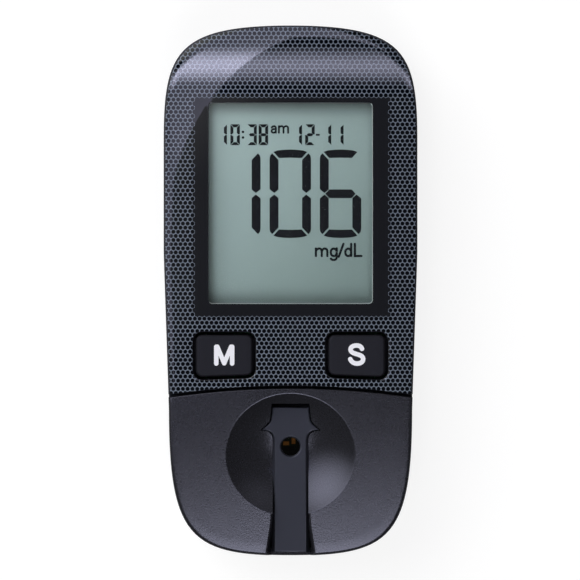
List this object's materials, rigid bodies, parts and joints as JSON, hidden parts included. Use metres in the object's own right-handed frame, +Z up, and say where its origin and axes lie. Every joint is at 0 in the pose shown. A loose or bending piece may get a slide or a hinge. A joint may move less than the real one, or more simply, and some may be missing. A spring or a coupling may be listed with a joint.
{
  "type": "blood glucose meter",
  "caption": "Hand-held blood glucose meter with a display, keys, a removable measuring cover with a strip guide in a round dish, and a battery door on its back.",
  "frame": {"origin": "middle of the footprint, on the surface that the meter lies on", "axes": "+Z up out of the display, +Y along the body to the display end, +X to the right of a reader"},
  "size_m": [0.0468, 0.0978, 0.0191],
  "materials": {
    "casing": "fine satin, moulded, dark grey",
    "faceplate": "glossy clear panel with a printed honeycomb and a black display border",
    "cover": "matt, finely textured, dark grey",
    "guide": "smooth matt, dark grey",
    "key": "matt black with a white letter",
    "polarizer": "grey-green liquid crystal display face, satin",
    "lcd_glass": "thin display glass",
    "reflector": "satin reflector film",
    "frame": "white moulded plastic",
    "connector": "layered conductive rubber",
    "board": "green solder mask on glass fibre",
    "chip": "black moulded package",
    "can": "plain nickel-plated steel",
    "black_plastic": "matt black",
    "window": "small clear window",
    "die": "amber light-emitting chip",
    "contact": "gold-plated spring strip",
    "screw": "dark plated steel"
  },
  "bodies": {
    "root": {"rear_shell": "casing", "front_housing": "casing", "faceplate": "faceplate", "lcd_front_polarizer": "polarizer", "lcd_front_glass": "lcd_glass", "lcd_rear_glass": "lcd_glass", "lcd_reflector": "reflector", "lcd_frame": "frame", "lcd_connector": "connector", "main_board": "board", "microcontroller": "chip", "memory_chip": "chip", "clock_crystal": "can", "buzzer": "black_plastic", "key_switch_m": "black_plastic", "key_switch_s": "black_plastic", "data_socket": "can", "optics_block": "black_plastic", "measuring_window": "window", "led_left": "die", "led_right": "die", "photodiode": "chip", "coin_cell": "can", "battery_contact_minus": "contact", "battery_contact_plus": "contact", "case_screw_1": "screw", "case_screw_2": "screw", "case_screw_3": "screw", "case_screw_4": "screw", "board_screw_1": "screw", "board_screw_2": "screw"},
    "m_key": {"button_m": "key"},
    "s_key": {"button_s": "key"},
    "lower_cover": {"measuring_cover": "cover", "strip_guide": "guide"},
    "battery_door": {"battery_cover": "casing"}
  },
  "joints": [
    {"name": "m_key_press", "type": "slide", "parent": "root", "child": "m_key", "axis": [0, 0, -1], "range_m": [0, 0.0005], "stiffness_N_per_m": 800},
    {"name": "s_key_press", "type": "slide", "parent": "root", "child": "s_key", "axis": [0, 0, -1], "range_m": [0, 0.0005], "stiffness_N_per_m": 800},
    {"name": "lower_cover_slide", "type": "slide", "parent": "root", "child": "lower_cover", "axis": [0, -1, 0], "range_m": [0, 0.012]},
    {"name": "battery_door_hinge", "type": "hinge", "parent": "root", "child": "battery_door", "pos_m": [0, 0.0194, 0.0001], "axis": [1, 0, 0], "range_deg": [0, 75]}
  ]
}
